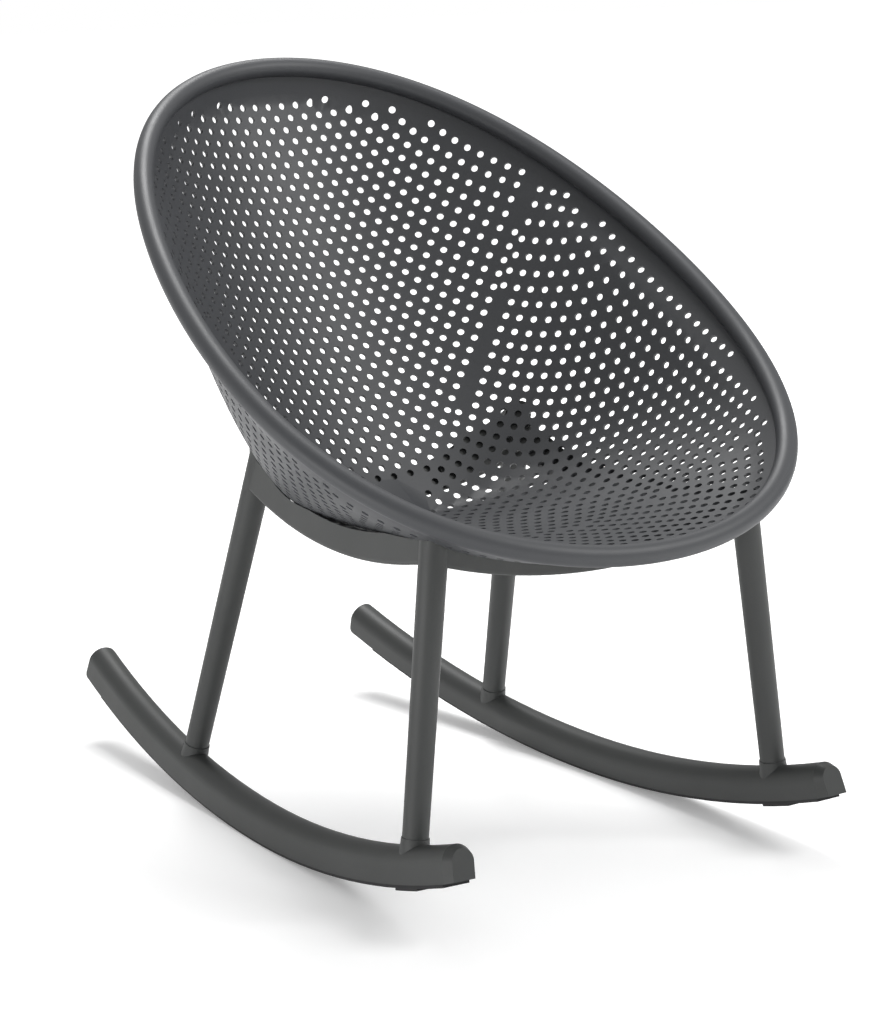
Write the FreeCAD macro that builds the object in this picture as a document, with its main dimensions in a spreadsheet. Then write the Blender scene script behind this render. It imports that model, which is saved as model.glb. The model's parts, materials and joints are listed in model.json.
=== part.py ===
import FreeCAD, Part
import Sketcher
import math
import os
from FreeCAD import Placement, Rotation, Vector

# Moulded plastic rocking chair, millimetres, +Z up, sitter faces -Y, origin on the floor
# under the middle of the chair. Side +1 is the sitter's left (+X), side -1 the right (-X).

doc = FreeCAD.newDocument("rocking_chair")
sheet = doc.addObject("Spreadsheet::Sheet", "sizes")

# Driving dimensions, one row each
SIZES = [
    ("rocker_wide", 38.0), ("rocker_high", 39.5), ("front_radius", 1297.0), ("rear_radius", 1537.0),
    ("front_reach", 433.4), ("rear_reach", 487.7), ("contact_x", 240.1), ("contact_y", -23.94),
    ("toe_out", 3.42), ("lean_in", 7.07), ("rear_end_round", 6.0),
    ("strip_thick", 4.0), ("strip_wide", 33.0), ("strip_rear_short", 46.6), ("strip_front_short", 16.4),
    ("stop_long", 45.0), ("stop_thick", 2.5), ("stop_reach", 323.0),
    ("cap_long", 15.0), ("cap_bevel_side", 5.5), ("cap_bevel_back", 11.0),
    ("tongue_wide", 20.0), ("tongue_high", 20.0), ("tongue_long", 14.0), ("tongue_gap", 0.25),
    ("leg_foot_dia", 29.0), ("leg_head_dia", 32.0), ("foot_level", 67.0), ("head_level", 367.0),
    ("front_foot_x", 251.1), ("front_foot_y", -352.34), ("front_head_x", 215.9), ("front_head_y", -336.14),
    ("rear_foot_x", 219.8), ("rear_foot_y", 170.46), ("rear_head_x", 188.8), ("rear_head_y", 85.86),
    ("front_top_level", 427.0), ("rear_top_level", 459.0), ("collar_high", 8.0), ("collar_lip", 1.0),
    ("collar_flare", 1.5), ("collar_root", 22.0),
    ("foot_bolt_dia", 6.0), ("foot_bolt_grip", 34.0), ("foot_bolt_bite", 16.0), ("foot_bolt_gap", 0.4),
    ("foot_head_dia", 11.0), ("foot_head_high", 4.0), ("foot_washer_dia", 15.0), ("washer_thick", 1.2),
    ("insert_dia", 9.0), ("insert_long", 20.0), ("socket_flats", 5.0), ("recess_gap", 0.5),
    ("rail_thick", 26.0), ("rail_round", 4.0), ("side_rail_low", 361.5), ("side_rail_low_y", -137.34),
    ("side_rail_front_low", 387.0), ("side_rail_rear_low", 394.0),
    ("side_rail_high", 392.5), ("side_rail_front_high", 427.0), ("side_rail_rear_high", 433.0),
    ("front_rail_low", 353.0), ("front_rail_end_low", 386.0), ("front_rail_high", 383.0),
    ("front_rail_end_high", 417.0),
    ("rear_rail_low", 354.5), ("rear_rail_end_low", 392.0), ("rear_rail_high", 395.0),
    ("rear_rail_end_high", 449.0),
    ("lap_thick", 9.0), ("lap_start", 118.0), ("lap_screw_x", 138.0), ("joint_x", 158.0),
    ("lap_screw_dia", 4.0), ("lap_screw_long", 12.0), ("lap_head_dia", 8.0), ("lap_head_high", 2.6),
    ("seat_gap", 0.4), ("shell_wall", 4.0),
    ("rim_half_long", 469.1), ("rim_half_wide", 355.9), ("rim_egg", -0.1087), ("rim_full", 0.1141),
    ("rim_tube", 24.0), ("rim_drop", 3.5), ("rim_centre_y", -56.04), ("rim_centre_z", 629.5), ("rim_tilt", 30.67),
    ("bowl_lip", 15.0), ("bowl_deep", 303.2), ("back_start", 475.0), ("back_slope", 0.8941),
    ("back_bend", 0.0032993), ("front_start", 460.5), ("front_bow", 0.0167), ("bowl_half_wide", 324.6),
    ("bowl_power", 0.4429), ("bowl_egg", -0.1616), ("bowl_egg_turn", -0.1706),
    ("bowl_full", 0.2173), ("bowl_full_turn", -0.241), ("wall_start", 45.0),
    ("crest_flat", 1.0), ("boss_x", 70.0), ("boss_dia", 14.0), ("boss_gap", 0.4), ("boss_seat", 7.0),
    ("boss_root", 40.0),
    ("seat_screw_dia", 4.0), ("seat_head_dia", 8.0), ("seat_head_high", 2.6), ("seat_washer_dia", 9.5),
    ("seat_washer_thick", 0.8), ("seat_screw_bite", 6.0),
]
for row, (alias, number) in enumerate(SIZES, 1):
    sheet.set("A%d" % row, alias)
    sheet.set("B%d" % row, str(number))
    sheet.setAlias("B%d" % row, alias)
doc.recompute()

UP = Vector(0, 0, 1)
ACROSS = Vector(1, 0, 0)
SIDES = {"left": 1, "right": -1}
ENDS = ("front", "rear")


def val(alias):
    return float(sheet.get(alias))


# Helpers for objects of the document
def bind(obj, **formulas):
    for name, formula in formulas.items():
        obj.setExpression(name, formula)
    return obj


def feature(name, shape):
    obj = doc.addObject("Part::Feature", name)
    obj.Shape = shape
    return obj


def cylinder(name, diameter, height, place):
    obj = doc.addObject("Part::Cylinder", name)
    bind(obj, Radius="(%s) / 2" % diameter, Height=height)
    obj.Placement = place
    return obj


def cone(name, low_diameter, high_diameter, height, place):
    obj = doc.addObject("Part::Cone", name)
    bind(obj, Radius1="(%s) / 2" % low_diameter, Radius2="(%s) / 2" % high_diameter, Height=height)
    obj.Placement = place
    return obj


def fuse(name, parts):
    if len(parts) == 1:
        return parts[0]
    obj = doc.addObject("Part::MultiFuse", name)
    obj.Shapes = parts
    obj.Refine = False
    return obj


def cut(name, base, tools):
    obj = doc.addObject("Part::Cut", name)
    obj.Base = base
    obj.Tool = fuse(name + "_tools", tools)
    obj.Refine = False
    return obj


def cut_each(name, base, steps):
    """Cut by one group of tools after another."""
    for number, tools in enumerate(steps[:-1]):
        base = cut("%s_step_%d" % (name, number), base, tools)
    return cut(name, base, steps[-1])


def group(name, parts):
    obj = doc.addObject("Part::Compound", name)
    obj.Links = parts
    return obj


def origin_plane(body, role):
    return [part for part in body.Origin.OriginFeatures if part.Role == role][0]


# Places and directions shared by the pieces
def rocker_frame(side):
    turn = Rotation(UP, side * val("toe_out")) * Rotation(Vector(0, 1, 0), -side * val("lean_in"))
    return Placement(Vector(side * val("contact_x"), val("contact_y"), 0), turn)


def arc_radius(along):
    return val("front_radius") if along < 0 else val("rear_radius")


def leg_axis(side, end):
    foot = Vector(side * val(end + "_foot_x"), val(end + "_foot_y"), val("foot_level"))
    head = Vector(side * val(end + "_head_x"), val(end + "_head_y"), val("head_level"))
    slope = (head - foot).multiply(1 / (val("head_level") - val("foot_level")))
    return foot, slope


def axis_point(side, end, level):
    foot, slope = leg_axis(side, end)
    return foot + Vector(slope).multiply(level - val("foot_level"))


def leg_place(side, end, up_axis=0.0):
    """Frame on the leg's foot joint, its Z up the leg."""
    thick = val("strip_thick") + val("rocker_high")
    level = val("foot_level")
    for step in range(12):
        local = rocker_frame(side).inverse().multVec(axis_point(side, end, level))
        radius = arc_radius(local.y)
        top = radius - math.sqrt((radius - thick) ** 2 - local.y ** 2)
        level += top + val("collar_high") - local.z
    foot, slope = leg_axis(side, end)
    place = Placement(axis_point(side, end, level), Rotation(UP, slope))
    return place * Placement(Vector(0, 0, up_axis), Rotation())


# Rockers, their end caps and their rubber strips
def section_sketch(body, side, low, high, wide, rounded):
    """Upright cross-section whose underside lies level when the rocker leans in."""
    sketch = body.newObject("Sketcher::SketchObject", body.Name + "_section")
    sketch.AttachmentSupport = [(origin_plane(body, "XZ_Plane"), "")]
    sketch.MapMode = "FlatFace"
    half = val(wide) / 2
    drop = half * math.tan(math.radians(val("lean_in"))) * side
    base = val("strip_thick") if rounded else low[1]
    crown = base + val("rocker_high") - half if rounded else high[1]
    corners = [Vector(-half, base + drop, 0), Vector(half, base - drop, 0)]
    shoulders = [Vector(half, crown, 0), Vector(-half, crown, 0)]
    if not rounded:
        shoulders = [Vector(half, crown - drop, 0), Vector(-half, crown + drop, 0)]
    sketch.addGeometry(Part.LineSegment(corners[0], corners[1]), False)
    sketch.addGeometry(Part.LineSegment(corners[1], shoulders[0]), False)
    if rounded:
        circle = Part.Circle(Vector(0, crown, 0), UP, half)
        sketch.addGeometry(Part.ArcOfCircle(circle, 0, math.pi), False)
    else:
        sketch.addGeometry(Part.LineSegment(shoulders[0], shoulders[1]), False)
    sketch.addGeometry(Part.LineSegment(shoulders[1], corners[0]), False)
    for radius in ("front_radius", "rear_radius"):
        line = Part.LineSegment(Vector(-half, val(radius), 0), Vector(half, val(radius), 0))
        sketch.addGeometry(line, True)
    ask = Sketcher.Constraint
    for first in range(4):
        sketch.addConstraint(ask("Coincident", first, 2, (first + 1) % 4, 1))
    sketch.addConstraint(ask("Vertical", 1))
    sketch.addConstraint(ask("Vertical", 3))
    tilt = "%+d * sizes.%s / 2 * tan(sizes.lean_in)" % (side, wide)

    def pin(kind, piece, point, number, formula):
        index = sketch.addConstraint(ask(kind, -1, 1, piece, point, number))
        sketch.setExpression("Constraints[%d]" % index, formula)

    pin("DistanceX", 1, 1, half, "sizes.%s / 2" % wide)
    pin("DistanceY", 0, 1, base + drop, "%s + (%s)" % (low[0], tilt))
    pin("DistanceY", 0, 2, base - drop, "%s - (%s)" % (low[0], tilt))
    if rounded:
        sketch.addConstraint(ask("PointOnObject", 2, 3, -2))
        pin("DistanceY", 2, 3, crown, high[0])
        sketch.addConstraint(ask("Horizontal", 2, 3, 2, 1))
        sketch.addConstraint(ask("Horizontal", 2, 3, 2, 2))
    else:
        pin("DistanceX", 3, 2, -half, "-sizes.%s / 2" % wide)
        pin("DistanceY", 2, 1, crown - drop, "%s - (%s)" % (high[0], tilt))
        pin("DistanceY", 2, 2, crown + drop, "%s + (%s)" % (high[0], tilt))
    for line, radius in ((4, "front_radius"), (5, "rear_radius")):
        pin("DistanceX", line, 1, -half, "-sizes.%s / 2" % wide)
        pin("DistanceX", line, 2, half, "sizes.%s / 2" % wide)
        pin("DistanceY", line, 1, val(radius), "sizes." + radius)
        pin("DistanceY", line, 2, val(radius), "sizes." + radius)
    return sketch


def swing(body, sketch, which, formula, name):
    """Revolve the section about the axis of the front or the rear arc."""
    turn = body.newObject("PartDesign::Revolution", name)
    turn.Profile = sketch
    turn.ReferenceAxis = (sketch, ["Axis%d" % ENDS.index(which)])
    turn.Reversed = which == "front"
    turn.setExpression("Angle", formula)
    return turn


def reach_angle(which, reach):
    return "asin(%s / sizes.%s_radius)" % (reach, which)


def rocker_section(body, side):
    crown = "sizes.strip_thick + sizes.rocker_high - sizes.rocker_wide / 2"
    return section_sketch(body, side, ("sizes.strip_thick", 0), (crown, 0), "rocker_wide", True)


CAP_ANGLE = "sizes.cap_long / sizes.front_radius * 180 deg / pi"


def rocker_beam(name, side):
    body = doc.addObject("PartDesign::Body", name + "_beam")
    sketch = rocker_section(body, side)
    front = reach_angle("front", "sizes.front_reach")
    swing(body, sketch, "front", "%s - %s" % (front, CAP_ANGLE), name + "_front_arc")
    swing(body, sketch, "rear", reach_angle("rear", "sizes.rear_reach"), name + "_rear_arc")
    doc.recompute()
    tip = body.Tip
    ends = [face for face in tip.Shape.Faces if face.Surface.TypeId == "Part::GeomPlane"]
    back = max(ends, key=lambda face: face.CenterOfMass.y)
    low = min(back.Edges, key=lambda edge: edge.CenterOfMass.z)
    round_off = body.newObject("PartDesign::Fillet", name + "_rear_round")
    index = [number for number, edge in enumerate(tip.Shape.Edges, 1) if edge.isSame(low)][0]
    round_off.Base = (tip, ["Edge%d" % index])
    round_off.setExpression("Radius", "sizes.rear_end_round")
    body.Placement = rocker_frame(side)
    return body


def cap_place(side):
    front = math.degrees(math.asin(val("front_reach") / val("front_radius")))
    cap = math.degrees(val("cap_long") / val("front_radius"))
    centre = Vector(0, 0, val("front_radius"))
    swung = Placement(Vector(), Rotation(ACROSS, cap - front), centre)
    return rocker_frame(side) * swung


def tongue_box(name, side, gap, length):
    """Block behind the cap's seam, centred in the rocker's section."""
    box = doc.addObject("Part::Box", name)
    bind(box, Length="sizes.tongue_wide + 2 * %s" % gap, Width=length,
         Height="sizes.tongue_high + 2 * %s" % gap)
    middle = val("strip_thick") + val("rocker_high") / 2
    grow = val("tongue_gap") if gap != "0" else 0.0
    corner = Vector(-val("tongue_wide") / 2 - grow, 0, middle - val("tongue_high") / 2 - grow)
    box.Placement = cap_place(side) * Placement(corner, Rotation())
    return box


def front_cap(name, side):
    body = doc.addObject("PartDesign::Body", name + "_shoe")
    sketch = rocker_section(body, side)
    turn = swing(body, sketch, "front", CAP_ANGLE, name + "_arc")
    doc.recompute()
    ends = [face for face in turn.Shape.Faces if face.Surface.TypeId == "Part::GeomPlane"]
    nose = min(ends, key=lambda face: face.CenterOfMass.y)
    low = min(nose.Edges, key=lambda edge: edge.CenterOfMass.z)
    rim = [edge for edge in nose.Edges if not edge.isSame(low)]
    names = ["Edge%d" % number for number, edge in enumerate(turn.Shape.Edges, 1)
             if [match for match in rim if match.isSame(edge)]]
    bevel = body.newObject("PartDesign::Chamfer", name + "_bevel")
    bevel.Base = (turn, names)
    bevel.ChamferType = "Two distances"
    bevel.setExpression("Size", "sizes.cap_bevel_back")
    bevel.setExpression("Size2", "sizes.cap_bevel_side")
    body.Placement = cap_place(side)
    tongue = tongue_box(name + "_tongue", side, "0", "sizes.tongue_long")
    return fuse(name, [body, tongue])


def strip_section(body, side, low, high):
    return section_sketch(body, side, low, high, "strip_wide", False)


def floor_strip(name, side):
    body = doc.addObject("PartDesign::Body", name)
    sketch = strip_section(body, side, ("0", 0.0), ("sizes.strip_thick", val("strip_thick")))
    for which in ENDS:
        angle = reach_angle(which, "(sizes.%s_reach - sizes.strip_%s_short)" % (which, which))
        swing(body, sketch, which, angle, "%s_%s_arc" % (name, which))
    body.Placement = rocker_frame(side)
    return body


def front_stop(name, side):
    """Thicker rubber block under the strip below the front leg."""
    body = doc.addObject("PartDesign::Body", name)
    sketch = strip_section(body, side, ("-sizes.stop_thick", -val("stop_thick")), ("0", 0.0))
    swing(body, sketch, "front", "sizes.stop_long / sizes.front_radius * 180 deg / pi", name + "_arc")
    start = math.degrees(math.asin(val("stop_reach") / val("front_radius")))
    centre = Vector(0, 0, val("front_radius"))
    body.Placement = rocker_frame(side) * Placement(Vector(), Rotation(ACROSS, -start), centre)
    return body


def bolt_cutters(name, side, end):
    """Clear hole for the foot bolt and the recess for its head, up from the underside."""
    seat = leg_place(side, end, -val("foot_bolt_grip"))
    hole = cylinder(name + "_hole", "sizes.foot_bolt_dia + 2 * sizes.foot_bolt_gap",
                    "sizes.foot_bolt_grip + 1", seat)
    down = seat * Placement(Vector(), Rotation(ACROSS, 180))
    recess = cylinder(name + "_recess", "sizes.foot_washer_dia + 2 * sizes.recess_gap",
                      "sizes.rocker_high", down)
    return [hole, recess]


def rocker(name, side):
    collars = []
    cutters = []
    for end in ENDS:
        root = leg_place(side, end, -val("collar_root"))
        top = "sizes.leg_foot_dia + 2 * sizes.collar_lip"
        collars.append(cone("%s_%s_collar" % (name, end), top + " + 2 * sizes.collar_flare", top,
                            "sizes.collar_root", root))
        cutters += bolt_cutters("%s_%s" % (name, end), side, end)
    cutters.append(tongue_box(name + "_socket", side, "sizes.tongue_gap", "sizes.tongue_long + 1"))
    solid = fuse(name + "_solid", [rocker_beam(name, side)] + collars)
    return cut(name, solid, cutters)


# Seat shell: a bowl of closed contours parallel to the rim's plane, under a rolled rim
def in_rim_plane(across, along, depth):
    tilt = math.radians(val("rim_tilt"))
    return Vector(across, val("rim_centre_y") + along * math.cos(tilt) + depth * math.sin(tilt),
                  val("rim_centre_z") + along * math.sin(tilt) - depth * math.cos(tilt))


CONTOUR_POINTS = 40


def closed_curve(points):
    curve = Part.BSplineCurve()
    curve.interpolate(points, PeriodicFlag=True)
    return Part.Wire([curve.toShape()])


def egg_points(half_long, half_wide, middle, egg, full, depth):
    points = []
    for step in range(CONTOUR_POINTS):
        angle = 2 * math.pi * step / CONTOUR_POINTS
        cosine = math.cos(angle)
        across = half_wide * math.sin(angle) * (1 + egg * cosine + full * cosine ** 2)
        points.append(in_rim_plane(across, middle + half_long * cosine, depth))
    return points


def rim_curve(inset, depth):
    return closed_curve(egg_points(val("rim_half_long") - inset, val("rim_half_wide") - inset, 0.0,
                                   val("rim_egg"), val("rim_full"), depth))


def back_line(depth):
    below = depth - val("bowl_lip")
    return val("back_start") - val("back_slope") * below - val("back_bend") * below ** 2


def bowl_curve(depth, grow, drop):
    """Contour of the bowl at one depth, grown outwards and pushed down for the outer skin."""
    share = (depth - val("bowl_lip")) / (val("bowl_deep") - val("bowl_lip"))
    deepest = back_line(val("bowl_deep"))
    back = back_line(depth)
    front = -val("front_start") + (deepest + val("front_start")) * (
        share + val("front_bow") * share * (1 - share))
    wide = val("bowl_half_wide") * (1 - share) ** val("bowl_power")
    egg = val("bowl_egg") + val("bowl_egg_turn") * share
    full = val("bowl_full") + val("bowl_full_turn") * share
    return closed_curve(egg_points((back - front) / 2 + grow, wide + grow, (back + front) / 2,
                                   egg, full, depth + drop))


BOWL_STEPS = 10
LAST_SHARE = 0.985
STEP_POWER = 1.8
RIM_STEPS = 8
SKIN_SHARE = 0.8


def skin_curves(grow, seam):
    """Contours of the bowl's wall from the rim's underside down to the flat of the seat."""
    under_rim = math.sqrt((val("rim_tube") / 2) ** 2 - (val("rim_tube") / 2 - seam) ** 2)
    curves = [rim_curve(seam, val("rim_drop") + under_rim)]
    first = (val("wall_start") - val("bowl_lip")) / (val("bowl_deep") - val("bowl_lip"))
    shrink = ((1 - LAST_SHARE) / (1 - first)) ** (1 / STEP_POWER)
    for step in range(BOWL_STEPS):
        rest = (1 - first) * (1 - step / (BOWL_STEPS - 1) * (1 - shrink)) ** STEP_POWER
        depth = val("bowl_deep") - rest * (val("bowl_deep") - val("bowl_lip"))
        curves.append(bowl_curve(depth, grow, grow if step else 0))
    return curves


def rim_half_curves(seam, side):
    """Contours over the rolled rim from its crest, by the outer (+1) or inner (-1) side, to the wall."""
    radius = val("rim_tube") / 2
    start = math.asin(val("crest_flat") / 2 / radius)
    finish = math.pi - math.asin(abs(radius - seam) / radius)
    curves = []
    for step in range(RIM_STEPS + 1):
        angle = start + (finish - start) * step / RIM_STEPS
        curves.append(rim_curve(radius - side * radius * math.sin(angle),
                                val("rim_drop") - radius * math.cos(angle)))
    return curves


def filled_bowl(skin, side):
    """Solid inside one skin of the shell, rim included: the outer skin (+1) or the inner one (-1)."""
    grow = SKIN_SHARE * skin
    seam = (val("rim_tube") - side * val("shell_wall")) / 2
    over_rim = rim_half_curves(seam, side)
    wall = skin_curves(grow, seam)
    wall[0] = over_rim[-1]
    faces = Part.makeLoft(over_rim, False).Faces + Part.makeLoft(wall, False).Faces
    faces += [Part.Face(over_rim[0]), Part.Face(wall[-1])]
    shell = Part.makeShell(faces)
    shell.sewShape()
    solid = Part.makeSolid(shell)
    if solid.Volume < 0:
        solid.reverse()
    return solid


def clear_bowl():
    """Solid that the frame keeps clear of: the bowl's outside and the gap under it."""
    grow = SKIN_SHARE * val("shell_wall") + val("seat_gap")
    seam = (val("rim_tube") - val("shell_wall")) / 2 - val("seat_gap")
    return Part.makeLoft(skin_curves(grow, seam), True)


def boss_spots():
    return [(side * val("boss_x"), end) for end in ENDS for side in SIDES.values()]


def boss_place(across, end, rise):
    low = rail_low_at(end, across)
    return Placement(Vector(across, rail_line_y(end), low + rise), Rotation())


def seat_shell():
    outside = feature("shell_outside", filled_bowl(val("shell_wall"), 1))
    inside = feature("shell_inside", filled_bowl(0.0, -1))
    bosses = []
    pilots = []
    for number, (across, end) in enumerate(boss_spots()):
        place = boss_place(across, end, val("boss_seat"))
        bosses.append(cylinder("shell_boss_%d" % number, "sizes.boss_dia", "sizes.boss_root", place))
        pilots.append(cylinder("shell_pilot_%d" % number, "sizes.seat_screw_dia",
                               "sizes.seat_screw_bite", place))
    solid = fuse("shell_solid", [outside] + bosses)
    return cut_each("seat_shell", solid, [[inside], pilots])


# Underframe: two side frames of legs and side rail, joined by a front and a rear rail
def rail_line_y(end):
    return axis_point(1, end, val(end + "_rail_end_low")).y


def rail_end_x(end):
    return axis_point(1, end, val(end + "_rail_end_low")).x


def rail_low_at(end, across):
    rise = val(end + "_rail_end_low") - val(end + "_rail_low")
    return val(end + "_rail_low") + rise * (across / rail_end_x(end)) ** 2


BLOCK = 1000.0
CUT_BELOW = 10.0


def arch(first, middle, last):
    return Part.Arc(first, middle, last).toShape()


def plate(low, high, thickness):
    """Plate between two arcs given by three points each, centred on their plane, low edges rounded."""
    edges = [arch(*low), Part.makeLine(low[2], high[2]), arch(high[2], high[1], high[0]),
             Part.makeLine(high[0], low[0])]
    face = Part.Face(Part.Wire(edges))
    normal = face.normalAt(0.5, 0.5)
    face.translate(Vector(normal).multiply(-thickness / 2))
    solid = face.extrude(Vector(normal).multiply(thickness))
    long_edges = [edge for edge in solid.Edges if edge.Curve.TypeId == "Part::GeomCircle"
                  and (edge.CenterOfMass - low[1]).Length < thickness]
    return solid.makeFillet(val("rail_round"), long_edges)


def cross_arcs(end, share_low, lift):
    """Low and high arcs of a cross rail, or of its lapped lower layer."""
    y = rail_line_y(end)
    x = rail_end_x(end)
    low = [Vector(-x, y, val(end + "_rail_end_low")), Vector(0, y, val(end + "_rail_low")),
           Vector(x, y, val(end + "_rail_end_low"))]
    if share_low:
        return low, [point + Vector(0, 0, lift) for point in low]
    high = [Vector(-x, y, val(end + "_rail_end_high")), Vector(0, y, val(end + "_rail_high")),
            Vector(x, y, val(end + "_rail_end_high"))]
    return low, high


def beyond(side, start):
    """Tall block that holds everything further out on one side than start."""
    corner = Vector(start, -BLOCK / 2, 0) if side > 0 else Vector(-start - BLOCK, -BLOCK / 2, 0)
    return Part.makeBox(BLOCK, BLOCK, BLOCK, corner)


def cross_rail(end):
    """Middle piece of a cross rail, and per side the corner that belongs to the side frame."""
    low, high = cross_arcs(end, False, 0)
    full = plate(low, high, val("rail_thick"))
    low, high = cross_arcs(end, True, val("lap_thick"))
    layer = plate(low, high, val("rail_thick"))
    middle = full
    corners = {}
    for side in SIDES.values():
        tab = layer.common(beyond(side, val("lap_start")))
        corners[side] = full.common(beyond(side, val("joint_x"))).fuse(tab).removeSplitter()
        middle = middle.cut(corners[side])
    return middle, corners


def side_rail(side):
    frame = rocker_frame(side)
    local = {}
    for end in ENDS:
        for kind in ("low", "high"):
            level = val("side_rail_%s_%s" % (end, kind))
            local[end, kind] = frame.inverse().multVec(axis_point(side, end, level))
    middle = {}
    for kind in ("low", "high"):
        spot = Vector(0, val("side_rail_low_y") - val("contact_y"), val("side_rail_" + kind))
        middle[kind] = Vector(0, spot.y, spot.z / math.cos(math.radians(val("lean_in"))))
    arcs = []
    for kind in ("low", "high"):
        ends = [Vector(0, local[end, kind].y, local[end, kind].z) for end in ENDS]
        arcs.append([ends[0], middle[kind], ends[1]])
    solid = plate(arcs[0], arcs[1], val("rail_thick"))
    shift = (local["front", "low"].x + local["rear", "low"].x) / 2
    solid.translate(Vector(shift, 0, 0))
    return solid.transformGeometry(frame.toMatrix())


def side_frame(name, side, outer):
    parts = []
    cutters = []
    rail = feature(name + "_rail", side_rail(side))
    parts.append(rail)
    for end in ENDS:
        place = leg_place(side, end)
        length = (val(end + "_top_level") - place.Base.z) / place.Rotation.multVec(UP).z
        taper = "(sizes.leg_head_dia - sizes.leg_foot_dia) / (sizes.head_level - sizes.foot_level)"
        top_diameter = "sizes.leg_foot_dia + %s * %.3f" % (taper, length)
        parts.append(cone("%s_%s_leg" % (name, end), "sizes.leg_foot_dia", top_diameter,
                          "%.3f" % length, place))
        parts.append(feature("%s_%s_corner" % (name, end), cross_rail(end)[1][side]))
        cutters.append(cylinder("%s_%s_bore" % (name, end), "sizes.insert_dia", "sizes.insert_long", place))
        cutters += lap_cutters("%s_%s" % (name, end), side, end)
    return cut_each(name, fuse(name + "_blank", parts), [cutters, [outer]])


def lap_spot(side, end):
    across = side * val("lap_screw_x")
    return Placement(Vector(across, rail_line_y(end), rail_low_at(end, across)), Rotation())


def lap_cutters(name, side, end):
    spot = lap_spot(side, end)
    below = spot * Placement(Vector(0, 0, -CUT_BELOW), Rotation())
    hole = cylinder(name + "_lap_hole", "sizes.lap_screw_dia",
                    "sizes.lap_screw_long + %g" % CUT_BELOW, below)
    recess = cylinder(name + "_lap_recess", "sizes.lap_head_dia + 2 * sizes.recess_gap",
                      "sizes.lap_head_high + %g" % CUT_BELOW, below)
    return [hole, recess]


def cross_frame_rail(name, end, outer):
    rail = feature(name + "_plain", cross_rail(end)[0])
    cutters = []
    for side in SIDES.values():
        tag = "%s_%d" % (name, side)
        cutters.append(cylinder(tag + "_pilot", "sizes.lap_screw_dia", "sizes.lap_screw_long",
                                lap_spot(side, end) * Placement(Vector(0, 0, val("lap_head_high")),
                                                                Rotation())))
    for number, (across, boss_end) in enumerate(boss_spots()):
        if boss_end != end:
            continue
        tag = "%s_boss_%d" % (name, number)
        cutters.append(cylinder(tag + "_seat", "sizes.boss_dia + 2 * sizes.boss_gap", "sizes.boss_root",
                                boss_place(across, end, val("boss_seat"))))
        cutters.append(cylinder(tag + "_hole", "sizes.seat_screw_dia + 2 * sizes.foot_bolt_gap",
                                "sizes.boss_seat", boss_place(across, end, val("recess_gap"))))
        cutters.append(cylinder(tag + "_recess", "sizes.seat_washer_dia + 2 * sizes.recess_gap",
                                "sizes.seat_head_high + sizes.seat_washer_thick + %g" % CUT_BELOW,
                                boss_place(across, end, -CUT_BELOW)))
    return cut_each(name, rail, [[outer]] + [[tool] for tool in cutters])


# Fasteners, each kind a group of separate solids
def socket(name, place, depth):
    """Hexagonal key socket cut into a screw head from its top."""
    key = doc.addObject("Part::Prism", name)
    key.Polygon = 6
    bind(key, Circumradius="sizes.socket_flats / 2 / cos(30)", Height=depth)
    key.Placement = place
    return key


def screw(name, place, shank, head, high, long, key):
    """Screw whose head's underside is at the frame's origin, its shank going up the frame's Z."""
    body = cylinder(name + "_shank", shank, long, place)
    down = place * Placement(Vector(), Rotation(ACROSS, 180))
    top = cylinder(name + "_head", head, high, down)
    whole = fuse(name + "_blank", [body, top])
    if not key:
        return whole
    face = down * Placement(Vector(0, 0, val("foot_head_high") / 2), Rotation())
    return cut(name, whole, [socket(name + "_key", face, "sizes.foot_head_high")])


def washer(name, place, outer, hole, thick):
    disc = cylinder(name + "_disc", outer, thick, place)
    return cut(name, disc, [cylinder(name + "_hole", hole, thick, place)])


def fasteners():
    kinds = {"foot_bolts": [], "foot_washers": [], "leg_inserts": [], "lap_screws": [],
             "seat_screws": [], "seat_washers": []}
    for side_name, side in SIDES.items():
        for end in ENDS:
            tag = "%s_%s" % (end, side_name)
            head = leg_place(side, end, -val("foot_bolt_grip") - val("washer_thick"))
            long = "sizes.foot_bolt_grip + sizes.washer_thick + sizes.foot_bolt_bite"
            kinds["foot_bolts"].append(screw("foot_bolt_" + tag, head, "sizes.foot_bolt_dia",
                                             "sizes.foot_head_dia", "sizes.foot_head_high", long, True))
            kinds["foot_washers"].append(washer("foot_washer_" + tag, head, "sizes.foot_washer_dia",
                                                "sizes.foot_bolt_dia", "sizes.washer_thick"))
            kinds["leg_inserts"].append(washer("leg_insert_" + tag, leg_place(side, end),
                                               "sizes.insert_dia", "sizes.foot_bolt_dia",
                                               "sizes.insert_long"))
            spot = lap_spot(side, end) * Placement(Vector(0, 0, val("lap_head_high")), Rotation())
            kinds["lap_screws"].append(screw("lap_screw_" + tag, spot, "sizes.lap_screw_dia",
                                             "sizes.lap_head_dia", "sizes.lap_head_high",
                                             "sizes.lap_screw_long", False))
    for number, (across, end) in enumerate(boss_spots()):
        place = boss_place(across, end, val("seat_head_high"))
        long = "sizes.boss_seat - sizes.seat_head_high + sizes.seat_screw_bite"
        kinds["seat_screws"].append(screw("seat_screw_%d" % number, place, "sizes.seat_screw_dia",
                                          "sizes.seat_head_dia", "sizes.seat_head_high", long, False))
        kinds["seat_washers"].append(washer("seat_washer_%d" % number, place, "sizes.seat_washer_dia",
                                            "sizes.seat_screw_dia", "sizes.seat_washer_thick"))
    return [group(name, parts) for name, parts in kinds.items()]


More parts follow.
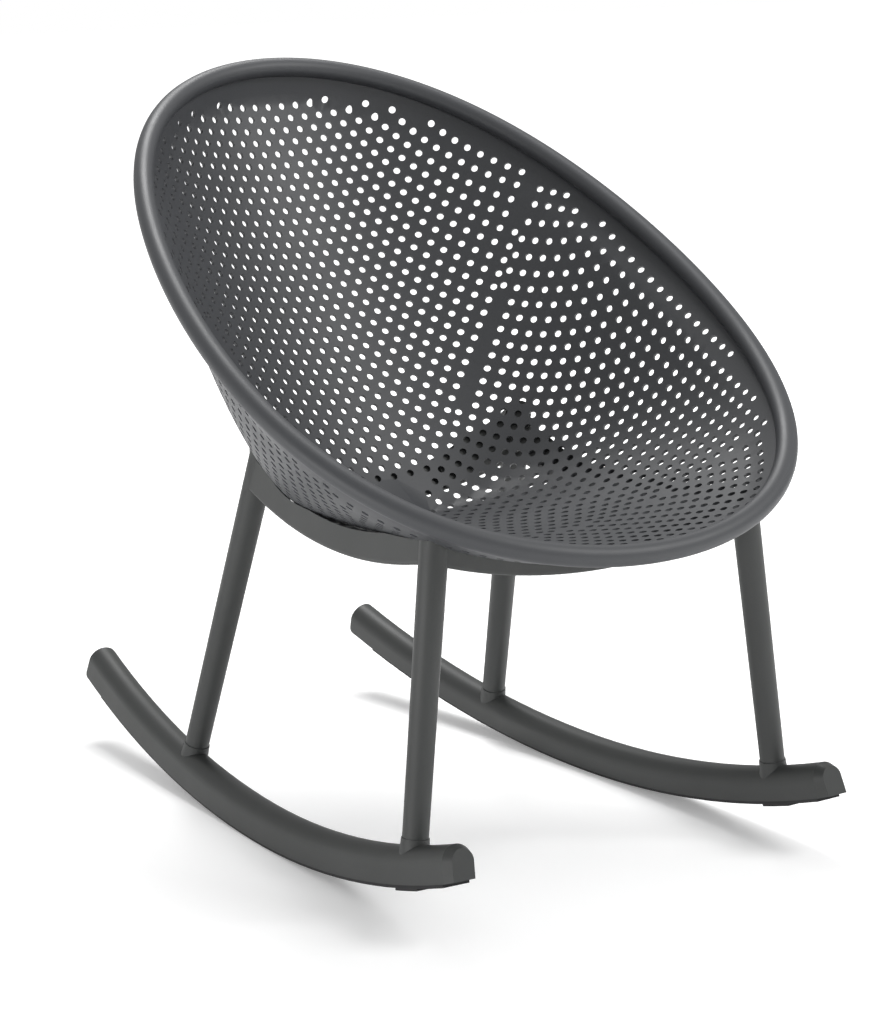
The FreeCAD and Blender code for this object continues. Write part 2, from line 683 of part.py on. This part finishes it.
# The whole chair
nodes = []
bowl_outer = feature("bowl_outer", clear_bowl())
nodes.append(seat_shell())
for side_name, side in SIDES.items():
    nodes.append(side_frame("side_frame_" + side_name, side, bowl_outer))
for end in ENDS:
    nodes.append(cross_frame_rail(end + "_rail", end, bowl_outer))
for side_name, side in SIDES.items():
    nodes.append(rocker("rocker_" + side_name, side))
    nodes.append(front_cap("front_cap_" + side_name, side))
    nodes.append(floor_strip("floor_strip_" + side_name, side))
    nodes.append(front_stop("front_stop_" + side_name, side))
nodes += fasteners()
doc.recompute()

# Checks, then one file per piece
faults = [obj.Name for obj in doc.Objects if "Invalid" in obj.State or "Error" in obj.State]
if faults:
    raise RuntimeError("objects that did not build: %s" % faults)
for node in nodes:
    node.Label = node.Name
    if node.Shape.isNull() or not node.Shape.isValid():
        raise RuntimeError("bad shape: " + node.Label)
os.makedirs("parts", exist_ok=True)
for node in nodes:
    node.Shape.exportStep("parts/%s.step" % node.Label)
    box = node.Shape.BoundBox
    print("%-18s solids %d volume %.0f x %.1f..%.1f y %.1f..%.1f z %.1f..%.1f" % (
        node.Label, len(node.Shape.Solids), node.Shape.Volume, box.XMin, box.XMax, box.YMin, box.YMax,
        box.ZMin, box.ZMax))
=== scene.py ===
import json
import math
import bpy
import numpy as np
from mathutils import Matrix, Vector
from mathutils.geometry import delaunay_2d_cdt


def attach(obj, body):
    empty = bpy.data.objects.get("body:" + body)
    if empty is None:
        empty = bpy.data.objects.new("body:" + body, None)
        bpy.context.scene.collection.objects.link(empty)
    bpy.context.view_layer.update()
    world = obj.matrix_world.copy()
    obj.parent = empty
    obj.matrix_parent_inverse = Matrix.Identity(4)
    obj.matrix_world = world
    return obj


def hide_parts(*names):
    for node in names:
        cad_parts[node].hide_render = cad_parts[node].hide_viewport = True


# Moulded plastic rocking chair, metres, +Z up, sitter faces -Y.

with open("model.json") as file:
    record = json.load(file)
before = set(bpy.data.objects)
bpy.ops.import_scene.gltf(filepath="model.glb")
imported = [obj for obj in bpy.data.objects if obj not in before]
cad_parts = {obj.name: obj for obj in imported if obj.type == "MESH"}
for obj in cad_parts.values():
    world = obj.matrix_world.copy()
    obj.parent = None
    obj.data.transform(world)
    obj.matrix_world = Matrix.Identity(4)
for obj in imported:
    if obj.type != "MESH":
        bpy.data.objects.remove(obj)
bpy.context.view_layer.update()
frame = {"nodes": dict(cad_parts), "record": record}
nodes = frame["nodes"]
scene = bpy.context.scene

SHELL_NODE = "seat_shell"
WALL = 0.004

# Rim plane of the seat shell: its centre, its tilt and its egg-shaped outline
RIM_CENTRE_Y = -0.05604
RIM_CENTRE_Z = 0.6295
RIM_TILT = math.radians(30.67)
RIM_HALF_LONG = 0.4691
RIM_HALF_WIDE = 0.3559
RIM_EGG = -0.1087
RIM_FULL = 0.1141
TUBE = 0.012
RIM_DROP = 0.0035

# Bowl under the rim plane: its depths, and how its contour changes from the lip to the deepest point
LIP_DEPTH = 0.015
WALL_START = 0.045
DEEPEST = 0.3032
FLAT_SHARE = 0.985
BACK_TOP, BACK_SLOPE, BACK_CURVE = 0.475, 0.8941, 3.2993
FRONT_TOP = -0.4605
FRONT_BULGE = 0.0167
WIDE_TOP, WIDE_POWER = 0.3246, 0.4429
SKEW_TOP, SKEW_FALL = -0.1616, 0.1706
FULL_TOP, FULL_FALL = 0.2173, 0.241
BISECTIONS = 26
LEAST_SIZE = 1e-5
LEAST_SWELL = 0.05
NORMAL_STEP = 0.002

# Mesh: points round each rim loop, steps round the rim's tube, and levels of the plain skin's points
AROUND = 240
AROUND_ANGLES = 2 * math.pi * np.arange(AROUND) / AROUND
TUBE_STEPS = 22
FILLER_LEVELS = (-0.85, -0.7, -0.5, -0.3, -0.1, 0.05)
FILLER_CLEAR = 0.0025
MERGE_DISTANCE = 1e-7
SMOOTH_ANGLE = math.radians(40)

# Holes, and how far they stay from each other, from the sides of the rim and from its two ends
HOLE_RADIUS = 0.0045
HOLE_SIDES = 12
HOLE_CLEAR = 0.012
EDGE_CLEAR = 0.009
END_CLEAR = 0.007

# Fan of rows up the back: half width where it ends, place of each row, pitch along it and its bend
FAN_HALF_WIDE, FAN_LEVEL, FAN_TAPER = 0.2565, 0.210, 0.874
FAN_MARGIN = 0.003
FAN_END = -0.008
FAN_ROWS = range(-13, 25)
FAN_COLUMNS = range(-18, 19)
ROW_LEVEL, ROW_STEP = 0.3035, 0.0131
ROW_CURVE_ABOVE, ROW_CURVE_BELOW = 0.00007, 0.00001
PITCH, PITCH_GROWTH, PITCH_CURVE = 0.0195, 0.000069, 0.0000035
BEND, BEND_FADE, BEND_FLATTEN = 0.82, 0.008, 0.00005

# Columns along the sides: place of each column, its lean towards the ends, and the rows across them
SIDE_COLUMNS = range(-1, 28)
OUTER_COLUMN, FIRST_COLUMN = 0.3305, 0.316
COLUMN_STEP = 0.0099
WIDER_FROM, WIDER_BY = 12, 0.0011
LEAN = 0.0118
LEAN_COLUMN = 0.198
LEAN_CENTRE, LEAN_CENTRE_SHIFT = -0.066, 0.627
LEAN_REACH, LEAN_REACH_GROWTH, LEAST_LEAN_REACH = 0.22, 0.932, 0.16
SIDE_ROWS = range(-13, 14)
SIDE_LEVEL, SIDE_STEP, SIDE_CURVE, SIDE_CUBIC = -0.063, 0.0180, 0.000162, 0.0000062
SLOPE_COLUMN = 0.31
SQUARE_LEVEL = -0.04
SLOPE_ABOVE, LEAST_SLOPE = -1.15, -0.155
SLOPE_BELOW, MOST_SLOPE = -1.55, 0.235
SIDE_END = -0.26

# Rings round the front: inset from the rim, step from ring to ring, and spacing along each
RINGS = 33
RING_INSET = 0.030
RING_STEP_LONG, RING_STEP_WIDE = 0.0127, 0.0098
RING_SKEW, RING_SHIFT = 0.005, 0.0014
RING_PITCH = 0.0188
RING_ANCHOR = 0.065
RING_SAMPLES = 2000
MIDDLE_CLEAR = 0.004


def rim_point(across, along, depth):
    """World points from places in the rim plane and depths below it."""
    y = RIM_CENTRE_Y + along * math.cos(RIM_TILT) + depth * math.sin(RIM_TILT)
    z = RIM_CENTRE_Z + along * math.sin(RIM_TILT) - depth * math.cos(RIM_TILT)
    return np.stack([across + 0 * y, y, z], -1)


def swell(cosine, skew, full):
    """How much wider than an ellipse the egg shape is, by place along it."""
    return 1 + skew * cosine + full * cosine ** 2


def egg(half_long, half_wide, middle, skew, full, angle):
    """Points of an egg-shaped outline in the rim plane."""
    cosine = np.cos(angle)
    across = half_wide * np.sin(angle) * swell(cosine, skew, full)
    return across, middle + half_long * cosine


def back_line(depth):
    """How far back the bowl reaches at a depth."""
    below = depth - LIP_DEPTH
    return BACK_TOP - BACK_SLOPE * below - BACK_CURVE * below ** 2


def bowl_contour(depth):
    """Half length, half width, middle, skew and fullness of the bowl's contour at one depth."""
    share = (depth - LIP_DEPTH) / (DEEPEST - LIP_DEPTH)
    back = back_line(depth)
    front = FRONT_TOP + (back_line(DEEPEST) - FRONT_TOP) * share * (1 + FRONT_BULGE * (1 - share))
    wide = WIDE_TOP * np.maximum(1 - share, 0) ** WIDE_POWER
    skew = SKEW_TOP - SKEW_FALL * share
    full = FULL_TOP - FULL_FALL * share
    return (back - front) / 2, wide, (back + front) / 2, skew, full


# Seams where the two skins run into the rim's tube
INNER_SEAM = TUBE + WALL / 2
OUTER_SEAM = TUBE - WALL / 2
SEAM_DEPTH = RIM_DROP + math.sqrt(TUBE ** 2 - (WALL / 2) ** 2)
SEAM = (RIM_HALF_LONG - INNER_SEAM, RIM_HALF_WIDE - INNER_SEAM, 0.0, RIM_EGG, RIM_FULL)


def level_contour(level):
    """Contour and depth at a level: -1 at the rim's seam, 0 where the bowl starts, 1 at its bottom."""
    level = np.asarray(level, float)
    bowl_depth = WALL_START + np.maximum(level, 0) * FLAT_SHARE * (DEEPEST - WALL_START)
    bowl = bowl_contour(bowl_depth)
    upper = np.clip(-level, 0, 1)
    sizes = [value * (1 - upper) + seam * upper for value, seam in zip(bowl, SEAM)]
    return sizes, bowl_depth * (1 - upper) + SEAM_DEPTH * upper


def depth_at(across, along):
    """Depth of the bowl's inner skin under a point of the rim plane."""
    low = np.full(np.shape(across), -1.0)
    high = np.full(np.shape(across), 1.0)
    for _ in range(BISECTIONS):
        level = (low + high) / 2
        (half, wide, middle, skew, full), depth = level_contour(level)
        cosine = (along - middle) / np.maximum(half, LEAST_SIZE)
        wider = np.maximum(swell(cosine, skew, full), LEAST_SWELL)
        inside = (across / (np.maximum(wide, LEAST_SIZE) * wider)) ** 2 + cosine ** 2 < 1
        low = np.where(inside, level, low)
        high = np.where(inside, high, level)
    return level_contour((low + high) / 2)[1]


def skin(across, along):
    """World points of the inner skin."""
    return rim_point(across, along, depth_at(across, along))


def skin_normals(across, along):
    """Unit normals of the inner skin that point out of the bowl."""
    one = skin(across + NORMAL_STEP, along) - skin(across - NORMAL_STEP, along)
    two = skin(across, along + NORMAL_STEP) - skin(across, along - NORMAL_STEP)
    normals = np.cross(two, one)
    return normals / np.linalg.norm(normals, axis=-1, keepdims=True)


# Hole centres in the rim plane
def fan_seam(along):
    """Half width of the fan of back rows, where the side columns begin."""
    return FAN_HALF_WIDE - FAN_TAPER * (FAN_LEVEL - along)


def back_rows():
    """Rows across the back, bent down towards the sides, each shifted by half a pitch."""
    spots = []
    for row in FAN_ROWS:
        above = min(row, 0)
        below = max(row, 0)
        level = ROW_LEVEL - ROW_STEP * row - ROW_CURVE_ABOVE * above ** 2 + ROW_CURVE_BELOW * below ** 2
        pitch = PITCH + PITCH_GROWTH * row + PITCH_CURVE * row ** 2
        bend = BEND - BEND_FADE * row - BEND_FLATTEN * below ** 3
        shift = 0.5 * ((row + 1) % 2)
        for column in FAN_COLUMNS:
            across = (column + shift) * pitch
            spots.append((across, level - bend * across ** 2))
    spots = np.array(spots)
    keep = (np.abs(spots[:, 0]) < fan_seam(spots[:, 1]) - FAN_MARGIN) & (spots[:, 1] > FAN_END)
    return spots[keep]


def column_place(column):
    """Distance of a side column from the middle, where it doesn't lean."""
    if column < 0:
        return OUTER_COLUMN
    return FIRST_COLUMN - COLUMN_STEP * column - WIDER_BY * max(column - WIDER_FROM, 0)


def row_slope(level):
    """Slope of a side row, by the level at which it crosses the sides."""
    if level > SQUARE_LEVEL:
        return max(SLOPE_ABOVE * (level - SQUARE_LEVEL), LEAST_SLOPE)
    return min(SLOPE_BELOW * (level - SQUARE_LEVEL), MOST_SLOPE)


def side_columns():
    """Columns along the right side wall, every second one shifted by half a row."""
    spots = []
    for column in SIDE_COLUMNS:
        place = column_place(column)
        centre = LEAN_CENTRE - LEAN_CENTRE_SHIFT * (place - LEAN_COLUMN)
        reach = max(LEAN_REACH + LEAN_REACH_GROWTH * (place - LEAN_COLUMN), LEAST_LEAN_REACH)
        for step in SIDE_ROWS:
            row = step + 0.5 * (column % 2)
            level = SIDE_LEVEL + SIDE_STEP * row + SIDE_CURVE * row ** 2 + SIDE_CUBIC * row ** 3
            along = level + row_slope(level) * (place - SLOPE_COLUMN)
            turn = min(abs(along - centre) / reach, 1.0) * math.pi
            spots.append((place - LEAN * (1 - math.cos(turn)), along))
    spots = np.array(spots)
    keep = (spots[:, 0] > np.maximum(fan_seam(spots[:, 1]), 0)) & (spots[:, 1] > SIDE_END)
    return spots[keep]


def front_rings():
    """Rings parallel to the rim round the front's right half, holes spaced along each."""
    spots = []
    angle = np.linspace(0, math.pi, RING_SAMPLES)
    for ring in range(RINGS):
        half_long = RIM_HALF_LONG - RING_INSET - RING_STEP_LONG * ring
        half_wide = RIM_HALF_WIDE - RING_INSET - RING_STEP_WIDE * ring
        across, along = egg(half_long, half_wide, 0.0, RIM_EGG + RING_SKEW * ring, RIM_FULL, angle)
        along = along - RING_SHIFT * ring
        length = np.concatenate([[0], np.cumsum(np.hypot(np.diff(across), np.diff(along)))])
        anchor = np.interp(RING_ANCHOR, -along, length)
        first = anchor - RING_PITCH * math.floor(anchor / RING_PITCH) + RING_PITCH * 0.5 * (ring % 2)
        places = np.arange(first, length[-1], RING_PITCH)
        across = np.interp(places, length, across)
        along = np.interp(places, length, along)
        keep = (across > MIDDLE_CLEAR) & (along <= SIDE_END)
        spots.append(np.stack([across[keep], along[keep]], -1))
    return np.concatenate(spots)


def inside_seam(spots):
    """True for the spots that stay clear of the rim."""
    half, wide = SEAM[0] - END_CLEAR, SEAM[1] - EDGE_CLEAR
    cosine = spots[:, 1] / half
    return (spots[:, 0] / (wide * swell(cosine, RIM_EGG, RIM_FULL))) ** 2 + cosine ** 2 < 1


def spaced(points, gap):
    """Indices kept so that no two points are closer than gap, earlier ones first."""
    cells = {}
    kept = []
    for index, point in enumerate(points):
        key = tuple(np.floor(point / gap).astype(int))
        near = [other for dx in (-1, 0, 1) for dy in (-1, 0, 1) for dz in (-1, 0, 1)
                for other in cells.get((key[0] + dx, key[1] + dy, key[2] + dz), ())]
        if all(np.linalg.norm(point - points[other]) > gap for other in near):
            cells.setdefault(key, []).append(index)
            kept.append(index)
    return kept


def hole_centres():
    """Centres of all holes in the rim plane, the back's first."""
    right = np.concatenate([side_columns(), front_rings()])
    spots = np.concatenate([back_rows(), right, right * (-1, 1)])
    spots = spots[inside_seam(spots)]
    points = skin(spots[:, 0], spots[:, 1])
    return spots[spaced(points, HOLE_CLEAR)]


def hole_loops(centres):
    """Circles on the skin's tangent planes, as points of the rim plane."""
    normal = skin_normals(centres[:, 0], centres[:, 1])
    first = np.cross(normal, (0, 1, 0))
    first /= np.linalg.norm(first, axis=-1, keepdims=True)
    second = np.cross(normal, first)
    loops = []
    for step in range(HOLE_SIDES):
        angle = 2 * math.pi * step / HOLE_SIDES
        offset = HOLE_RADIUS * (math.cos(angle) * first + math.sin(angle) * second)
        along = offset[:, 1] * math.cos(RIM_TILT) + offset[:, 2] * math.sin(RIM_TILT)
        loops.append(np.stack([centres[:, 0] + offset[:, 0], centres[:, 1] + along], -1))
    return np.stack(loops, 1)


def filler_spots(centres):
    """Points on plain parts of the skin, clear of the holes."""
    spots = []
    for level in FILLER_LEVELS:
        contour, _ = level_contour(level)
        spots.append(np.stack(egg(*contour, AROUND_ANGLES), -1))
    spots = np.concatenate(spots)
    points = skin(spots[:, 0], spots[:, 1])
    holes = skin(centres[:, 0], centres[:, 1])
    least = (HOLE_RADIUS + FILLER_CLEAR) ** 2
    far = [np.min(np.sum((holes - point) ** 2, -1)) > least for point in points]
    return spots[np.array(far)]


def rim_loop(inset, depth):
    """World points round the rim, inset from its outline."""
    half_long, half_wide = RIM_HALF_LONG - inset, RIM_HALF_WIDE - inset
    across, along = egg(half_long, half_wide, 0.0, RIM_EGG, RIM_FULL, AROUND_ANGLES)
    return rim_point(across, along, depth)


def new_object(name, points, faces):
    """Smooth object from points and faces, linked to the scene."""
    mesh = bpy.data.meshes.new(name)
    corners = [tuple(point) for point in points]
    mesh.from_pydata(corners, [], [tuple(int(i) for i in face) for face in faces])
    mesh.validate()
    mesh.shade_smooth()
    mesh.set_sharp_from_angle(angle=SMOOTH_ANGLE)
    obj = bpy.data.objects.new(name, mesh)
    scene.collection.objects.link(obj)
    return obj


def skin_faces(flat, loops):
    """Triangles of the skin between the outline, which is the first loop, and the holes."""
    segments = [(loop[i], loop[(i + 1) % len(loop)]) for loop in loops for i in range(len(loop))]
    verts, _, faces, _, _, _ = delaunay_2d_cdt([Vector(p) for p in flat], segments, [], 0, MERGE_DISTANCE)
    if len(verts) != len(flat):
        raise RuntimeError("the perforation's outlines cross")
    owner = np.full(len(flat), -1)
    for hole, loop in enumerate(loops[1:]):
        owner[loop] = hole
    kept = []
    for face in faces:
        owners = {owner[i] for i in face}
        if len(owners) > 1 or -1 in owners:
            kept.append(face)
    return kept


def hole_walls(loops, outer_start):
    """Quads between the holes' loops on the inner skin and those on the outer skin."""
    walls = []
    for loop in loops:
        for i, near in enumerate(loop):
            far = loop[(i + 1) % len(loop)]
            walls.append([near, far, far + outer_start, near + outer_start])
    return walls


def band(first, second):
    """Quads between two neighbouring rim loops."""
    return [[first[i], second[i], second[(i + 1) % AROUND], first[(i + 1) % AROUND]] for i in range(AROUND)]


def rolled_rim(tube_start, outer_start):
    """Points and quads of the rim's tube, from the inner skin's edge round to the outer skin's."""
    start = math.asin((WALL / 2) / TUBE)
    points = []
    loops = [range(AROUND)]
    for step in range(1, TUBE_STEPS):
        turn = start + (2 * math.pi - 2 * start) * step / TUBE_STEPS
        points.append(rim_loop(TUBE + TUBE * math.sin(turn), RIM_DROP + TUBE * math.cos(turn)))
        first = tube_start + (step - 1) * AROUND
        loops.append(range(first, first + AROUND))
    loops.append(range(outer_start, outer_start + AROUND))
    quads = []
    for one, two in zip(loops, loops[1:]):
        quads += band(one, two)
    return points, quads


def perforated_shell():
    """Both skins of the bowl with every hole cut through, closed by the rolled rim."""
    centres = hole_centres()
    edge = np.stack(egg(*SEAM, AROUND_ANGLES), -1)
    flat = np.concatenate([edge, hole_loops(centres).reshape(-1, 2), filler_spots(centres)])
    loops = [list(range(AROUND))]
    for hole in range(len(centres)):
        first = AROUND + hole * HOLE_SIDES
        loops.append(list(range(first, first + HOLE_SIDES)))
    count = len(flat)
    inner = skin(flat[:, 0], flat[:, 1])
    inner[:AROUND] = rim_loop(INNER_SEAM, SEAM_DEPTH)
    outer = inner + WALL * skin_normals(flat[:, 0], flat[:, 1])
    outer[:AROUND] = rim_loop(OUTER_SEAM, SEAM_DEPTH)
    triangles = skin_faces(flat, loops)
    tube_points, tube_quads = rolled_rim(2 * count, count)
    faces = [face[::-1] for face in triangles]
    faces += [[i + count for i in face] for face in triangles]
    faces += hole_walls(loops[1:], count)
    faces += tube_quads
    return new_object("perforated_shell", np.concatenate([inner, outer] + tube_points), faces)


# Materials
GRAIN_DETAIL = 4.0
GLOSS_SCALE, GLOSS_DETAIL, GLOSS_SPREAD = 14.0, 3.0, 0.06
BUMP_STRENGTH, BUMP_HEIGHT = 0.25, 0.0003


def noise_texture(tree, scale, detail):
    noise = tree.nodes.new("ShaderNodeTexNoise")
    noise.inputs["Scale"].default_value = scale
    noise.inputs["Detail"].default_value = detail
    return noise


def plastic(name, colour, roughness, grain, fleck):
    """Moulded plastic: fine grain in the bump, faint flecks in colour and gloss."""
    material = bpy.data.materials.new(name)
    material.use_nodes = True
    tree = material.node_tree
    shader = tree.nodes["Principled BSDF"]
    place = tree.nodes.new("ShaderNodeTexCoord")
    fine = noise_texture(tree, grain, GRAIN_DETAIL)
    broad = noise_texture(tree, GLOSS_SCALE, GLOSS_DETAIL)
    tint = tree.nodes.new("ShaderNodeMix")
    tint.data_type = "RGBA"
    tint.inputs["A"].default_value = (*[value * (1 - fleck) for value in colour], 1)
    tint.inputs["B"].default_value = (*[value * (1 + fleck) for value in colour], 1)
    gloss = tree.nodes.new("ShaderNodeMapRange")
    gloss.inputs["To Min"].default_value = roughness - GLOSS_SPREAD
    gloss.inputs["To Max"].default_value = roughness + GLOSS_SPREAD
    bump = tree.nodes.new("ShaderNodeBump")
    bump.inputs["Strength"].default_value = BUMP_STRENGTH
    bump.inputs["Distance"].default_value = BUMP_HEIGHT
    link = tree.links.new
    link(place.outputs["Object"], fine.inputs["Vector"])
    link(place.outputs["Object"], broad.inputs["Vector"])
    link(fine.outputs["Fac"], tint.inputs["Factor"])
    link(broad.outputs["Fac"], gloss.inputs["Value"])
    link(fine.outputs["Fac"], bump.inputs["Height"])
    link(tint.outputs["Result"], shader.inputs["Base Color"])
    link(gloss.outputs["Result"], shader.inputs["Roughness"])
    link(bump.outputs["Normal"], shader.inputs["Normal"])
    return material


def metal(name, colour, roughness):
    """Metal with the same faint grain as the plastic."""
    material = plastic(name, colour, roughness, grain=900.0, fleck=0.05)
    material.node_tree.nodes["Principled BSDF"].inputs["Metallic"].default_value = 1.0
    return material


SHELL_COLOUR = (0.042, 0.044, 0.048)
FRAME_COLOUR = (0.029, 0.031, 0.030)
RUBBER_COLOUR = (0.012, 0.012, 0.013)
STEEL_COLOUR = (0.55, 0.55, 0.56)
BRASS_COLOUR = (0.72, 0.55, 0.26)
materials = {
    "shell_plastic": plastic("shell_plastic", SHELL_COLOUR, roughness=0.5, grain=700.0, fleck=0.12),
    "frame_plastic": plastic("frame_plastic", FRAME_COLOUR, roughness=0.5, grain=700.0, fleck=0.12),
    "rubber": plastic("rubber", RUBBER_COLOUR, roughness=0.7, grain=500.0, fleck=0.1),
    "steel": metal("steel", STEEL_COLOUR, roughness=0.32),
    "brass": metal("brass", BRASS_COLOUR, roughness=0.3),
}


def dress(obj, slot):
    obj.data.materials.clear()
    obj.data.materials.append(materials[slot])


node_slots = {part["node"]: part["material_slot"] for part in frame["record"]["subparts"]}
for name, obj in nodes.items():
    dress(obj, node_slots[name])

shell = perforated_shell()
dress(shell, "shell_plastic")
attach(shell, "root")
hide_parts(SHELL_NODE)


# Floor: nearly white, with a glow that grows away from the chair until it meets the white background. The
# glow is painted light from a surface that is no lamp: it also lightens the chair's shadows on the floor
# and lights the chair's underside.
FLOOR_HALF = 14.0
FLOOR_WHITE = 0.93
FLOOR_ROUGHNESS = 0.9
FLOOR_GLOW = (0.2, 0.75)
GLOW_REACH = (0.9, 2.6)


def floor_plane():
    mesh = bpy.data.meshes.new("floor")
    corners = [(-FLOOR_HALF, -FLOOR_HALF, 0), (FLOOR_HALF, -FLOOR_HALF, 0),
               (FLOOR_HALF, FLOOR_HALF, 0), (-FLOOR_HALF, FLOOR_HALF, 0)]
    mesh.from_pydata(corners, [], [(0, 1, 2, 3)])
    obj = bpy.data.objects.new("floor", mesh)
    scene.collection.objects.link(obj)
    mesh.materials.append(floor_material())
    return obj


def floor_material():
    material = bpy.data.materials.new("floor")
    material.use_nodes = True
    tree = material.node_tree
    shader = tree.nodes["Principled BSDF"]
    shader.inputs["Base Color"].default_value = (FLOOR_WHITE, FLOOR_WHITE, FLOOR_WHITE, 1)
    shader.inputs["Roughness"].default_value = FLOOR_ROUGHNESS
    shader.inputs["Specular IOR Level"].default_value = 0.0
    shader.inputs["Emission Color"].default_value = (1, 1, 1, 1)
    place = tree.nodes.new("ShaderNodeNewGeometry")
    distance = tree.nodes.new("ShaderNodeVectorMath")
    distance.operation = "LENGTH"
    glow = tree.nodes.new("ShaderNodeMapRange")
    glow.interpolation_type = "SMOOTHSTEP"
    glow.inputs["From Min"].default_value, glow.inputs["From Max"].default_value = GLOW_REACH
    glow.inputs["To Min"].default_value, glow.inputs["To Max"].default_value = FLOOR_GLOW
    tree.links.new(place.outputs["Position"], distance.inputs[0])
    tree.links.new(distance.outputs["Value"], glow.inputs["Value"])
    # Painted light: the floor glows by distance from the chair, lifting the shadows cast on it
    tree.links.new(glow.outputs["Result"], shader.inputs["Emission Strength"])
    return material


floor = floor_plane()

# Soft studio lights, all aimed at the middle of the chair, with their power in watts
LIGHT_TARGET = Vector((0, 0, 0.45))
SURROUND_STRENGTH = 0.55
BACKDROP_STRENGTH = 1.0


def area_light(name, place, size, power):
    lamp = bpy.data.lights.new(name, "AREA")
    lamp.shape = "RECTANGLE"
    lamp.size, lamp.size_y = size
    lamp.energy = power
    obj = bpy.data.objects.new(name, lamp)
    obj.location = place
    obj.rotation_euler = (LIGHT_TARGET - Vector(place)).to_track_quat("-Z", "Y").to_euler()
    scene.collection.objects.link(obj)


area_light("left_softbox", place=(-3.0, -0.4, 0.4), size=(2.2, 0.7), power=22)
area_light("front_softbox", place=(1.8, -2.4, 2.8), size=(1.8, 1.8), power=80)
area_light("top_softbox", place=(0.5, 1.3, 3.2), size=(1.3, 1.3), power=75)


def studio_world():
    """A dim white surround for the light, and plain white where the camera looks past the floor."""
    world = bpy.data.worlds.new("studio")
    world.use_nodes = True
    tree = world.node_tree
    surround = tree.nodes["Background"]
    surround.inputs["Strength"].default_value = SURROUND_STRENGTH
    backdrop = tree.nodes.new("ShaderNodeBackground")
    backdrop.inputs["Strength"].default_value = BACKDROP_STRENGTH
    for node in (surround, backdrop):
        node.inputs["Color"].default_value = (1, 1, 1, 1)
    path = tree.nodes.new("ShaderNodeLightPath")
    mix = tree.nodes.new("ShaderNodeMixShader")
    tree.links.new(path.outputs["Is Camera Ray"], mix.inputs["Fac"])
    tree.links.new(surround.outputs["Background"], mix.inputs[1])
    tree.links.new(backdrop.outputs["Background"], mix.inputs[2])
    tree.links.new(mix.outputs["Shader"], tree.nodes["World Output"].inputs["Surface"])
    return world


scene.world = studio_world()

# Camera at the photo's viewpoint: place, heading from +Y towards +X, pitch down and roll
CAMERA_PLACE = Vector((-1.9369, -2.90624, 1.1298))
HEADING = 0.5918
PITCH = 0.2183
ROLL = -0.0037
LENS = 105.8
SENSOR_WIDTH = 36.0

level = math.cos(PITCH)
forward = Vector((math.sin(HEADING) * level, math.cos(HEADING) * level, -math.sin(PITCH)))
right = Vector((math.cos(HEADING), -math.sin(HEADING), 0))
up = right.cross(forward)
turned_right = right * math.cos(ROLL) + up * math.sin(ROLL)
turned_up = up * math.cos(ROLL) - right * math.sin(ROLL)
camera_data = bpy.data.cameras.new("camera")
camera_data.lens = LENS
camera_data.sensor_width = SENSOR_WIDTH
camera = bpy.data.objects.new("camera", camera_data)
camera.matrix_world = Matrix.Translation(CAMERA_PLACE) @ Matrix(
    (turned_right, turned_up, -forward)).transposed().to_4x4()
scene.collection.objects.link(camera)
scene.camera = camera
scene.view_settings.view_transform = "Standard"
